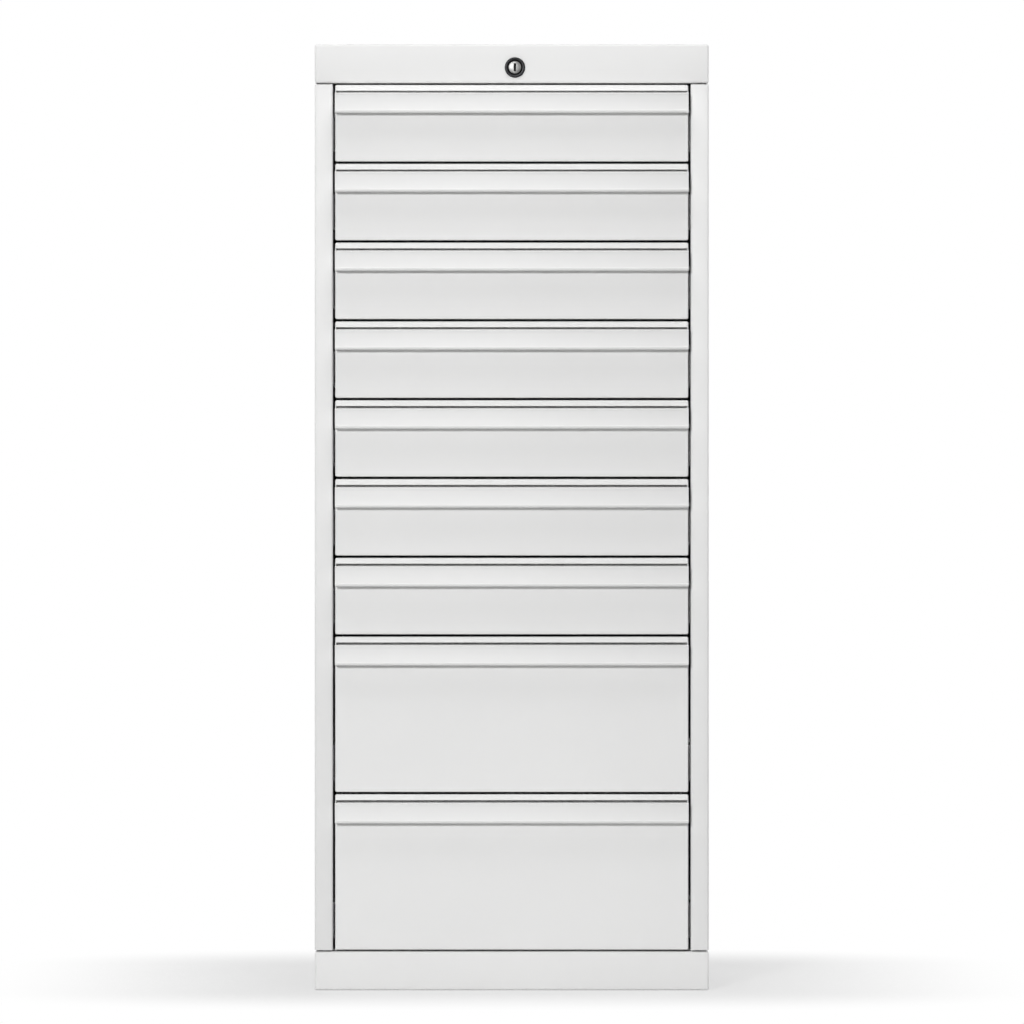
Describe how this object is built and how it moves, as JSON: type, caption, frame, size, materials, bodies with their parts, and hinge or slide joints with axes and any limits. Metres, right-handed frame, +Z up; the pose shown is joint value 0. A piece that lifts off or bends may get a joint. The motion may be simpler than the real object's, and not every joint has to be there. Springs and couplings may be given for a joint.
{
  "type": "multi-drawer cabinet",
  "caption": "Tall narrow steel cabinet with full-width drawers on telescopic runners, grip rails, a header with a central cylinder lock, and a plinth.",
  "frame": {"origin": "on the floor, at the middle of the cabinet's outline from above", "axes": "+Z up; +X to the right seen from the front; the front faces -Y and the drawers open towards -Y"},
  "size_m": [0.5, 0.622, 1.2],
  "materials": {
    "casing_paint": "satin powder coat",
    "front_paint": "satin powder coat",
    "grip_paint": "satin powder coat",
    "tray_paint": "satin powder coat",
    "runner_steel": "zinc plated",
    "zinc_steel": "zinc plated",
    "lock_nickel": "nickel plated"
  },
  "bodies": {
    "casing": {"top_cover": "casing_paint", "side_panel_left": "casing_paint", "side_panel_right": "casing_paint", "back_panel": "casing_paint", "bottom_panel": "casing_paint", "plinth": "casing_paint", "front_posts": "zinc_steel", "rear_posts": "zinc_steel", "cabinet_rails": "runner_steel", "casing_bolts": "zinc_steel", "back_screws": "zinc_steel", "lock_housing": "lock_nickel"},
    "drawer_1": {"drawer_1_front": "front_paint", "drawer_1_handle": "grip_paint", "drawer_1_tray": "tray_paint", "drawer_1_inner_rails": "runner_steel"},
    "runner_1": {"drawer_1_mid_rails": "runner_steel"},
    "drawer_2": {"drawer_2_front": "front_paint", "drawer_2_handle": "grip_paint", "drawer_2_tray": "tray_paint", "drawer_2_inner_rails": "runner_steel"},
    "runner_2": {"drawer_2_mid_rails": "runner_steel"},
    "drawer_3": {"drawer_3_front": "front_paint", "drawer_3_handle": "grip_paint", "drawer_3_tray": "tray_paint", "drawer_3_inner_rails": "runner_steel"},
    "runner_3": {"drawer_3_mid_rails": "runner_steel"},
    "drawer_4": {"drawer_4_front": "front_paint", "drawer_4_handle": "grip_paint", "drawer_4_tray": "tray_paint", "drawer_4_inner_rails": "runner_steel"},
    "runner_4": {"drawer_4_mid_rails": "runner_steel"},
    "drawer_5": {"drawer_5_front": "front_paint", "drawer_5_handle": "grip_paint", "drawer_5_tray": "tray_paint", "drawer_5_inner_rails": "runner_steel"},
    "runner_5": {"drawer_5_mid_rails": "runner_steel"},
    "drawer_6": {"drawer_6_front": "front_paint", "drawer_6_handle": "grip_paint", "drawer_6_tray": "tray_paint", "drawer_6_inner_rails": "runner_steel"},
    "runner_6": {"drawer_6_mid_rails": "runner_steel"},
    "drawer_7": {"drawer_7_front": "front_paint", "drawer_7_handle": "grip_paint", "drawer_7_tray": "tray_paint", "drawer_7_inner_rails": "runner_steel"},
    "runner_7": {"drawer_7_mid_rails": "runner_steel"},
    "drawer_8": {"drawer_8_front": "front_paint", "drawer_8_handle": "grip_paint", "drawer_8_tray": "tray_paint", "drawer_8_inner_rails": "runner_steel"},
    "runner_8": {"drawer_8_mid_rails": "runner_steel"},
    "drawer_9": {"drawer_9_front": "front_paint", "drawer_9_handle": "grip_paint", "drawer_9_tray": "tray_paint", "drawer_9_inner_rails": "runner_steel"},
    "runner_9": {"drawer_9_mid_rails": "runner_steel"},
    "lock_plug": {"lock_plug": "lock_nickel", "lock_cam": "zinc_steel"},
    "lock_bar": {"lock_bar": "zinc_steel"}
  },
  "joints": [
    {"name": "drawer_1_slide", "type": "slide", "parent": "casing", "child": "drawer_1", "axis": [0, -1, 0], "range_m": [0, 0.5]},
    {"name": "runner_1_slide", "type": "slide", "parent": "casing", "child": "runner_1", "axis": [0, -1, 0], "range_m": [0, 0.25]},
    {"name": "drawer_2_slide", "type": "slide", "parent": "casing", "child": "drawer_2", "axis": [0, -1, 0], "range_m": [0, 0.5]},
    {"name": "runner_2_slide", "type": "slide", "parent": "casing", "child": "runner_2", "axis": [0, -1, 0], "range_m": [0, 0.25]},
    {"name": "drawer_3_slide", "type": "slide", "parent": "casing", "child": "drawer_3", "axis": [0, -1, 0], "range_m": [0, 0.5]},
    {"name": "runner_3_slide", "type": "slide", "parent": "casing", "child": "runner_3", "axis": [0, -1, 0], "range_m": [0, 0.25]},
    {"name": "drawer_4_slide", "type": "slide", "parent": "casing", "child": "drawer_4", "axis": [0, -1, 0], "range_m": [0, 0.5]},
    {"name": "runner_4_slide", "type": "slide", "parent": "casing", "child": "runner_4", "axis": [0, -1, 0], "range_m": [0, 0.25]},
    {"name": "drawer_5_slide", "type": "slide", "parent": "casing", "child": "drawer_5", "axis": [0, -1, 0], "range_m": [0, 0.5]},
    {"name": "runner_5_slide", "type": "slide", "parent": "casing", "child": "runner_5", "axis": [0, -1, 0], "range_m": [0, 0.25]},
    {"name": "drawer_6_slide", "type": "slide", "parent": "casing", "child": "drawer_6", "axis": [0, -1, 0], "range_m": [0, 0.5]},
    {"name": "runner_6_slide", "type": "slide", "parent": "casing", "child": "runner_6", "axis": [0, -1, 0], "range_m": [0, 0.25]},
    {"name": "drawer_7_slide", "type": "slide", "parent": "casing", "child": "drawer_7", "axis": [0, -1, 0], "range_m": [0, 0.5]},
    {"name": "runner_7_slide", "type": "slide", "parent": "casing", "child": "runner_7", "axis": [0, -1, 0], "range_m": [0, 0.25]},
    {"name": "drawer_8_slide", "type": "slide", "parent": "casing", "child": "drawer_8", "axis": [0, -1, 0], "range_m": [0, 0.5]},
    {"name": "runner_8_slide", "type": "slide", "parent": "casing", "child": "runner_8", "axis": [0, -1, 0], "range_m": [0, 0.25]},
    {"name": "drawer_9_slide", "type": "slide", "parent": "casing", "child": "drawer_9", "axis": [0, -1, 0], "range_m": [0, 0.5]},
    {"name": "runner_9_slide", "type": "slide", "parent": "casing", "child": "runner_9", "axis": [0, -1, 0], "range_m": [0, 0.25]},
    {"name": "lock_turn", "type": "hinge", "parent": "casing", "child": "lock_plug", "pos_m": [0.004, -0.291, 1.1706], "axis": [0, 1, 0], "range_deg": [0, 90]},
    {"name": "lock_bar_slide", "type": "slide", "parent": "casing", "child": "lock_bar", "axis": [0, 0, 1], "range_m": [0, 0.00848]}
  ],
  "couplings": [
    {"joint": "runner_1_slide", "follows": "drawer_1_slide", "ratio": 0.5},
    {"joint": "runner_2_slide", "follows": "drawer_2_slide", "ratio": 0.5},
    {"joint": "runner_3_slide", "follows": "drawer_3_slide", "ratio": 0.5},
    {"joint": "runner_4_slide", "follows": "drawer_4_slide", "ratio": 0.5},
    {"joint": "runner_5_slide", "follows": "drawer_5_slide", "ratio": 0.5},
    {"joint": "runner_6_slide", "follows": "drawer_6_slide", "ratio": 0.5},
    {"joint": "runner_7_slide", "follows": "drawer_7_slide", "ratio": 0.5},
    {"joint": "runner_8_slide", "follows": "drawer_8_slide", "ratio": 0.5},
    {"joint": "runner_9_slide", "follows": "drawer_9_slide", "ratio": 0.5},
    {"joint": "lock_turn", "follows": "lock_bar_slide", "rad_per_m": 185.2}
  ]
}
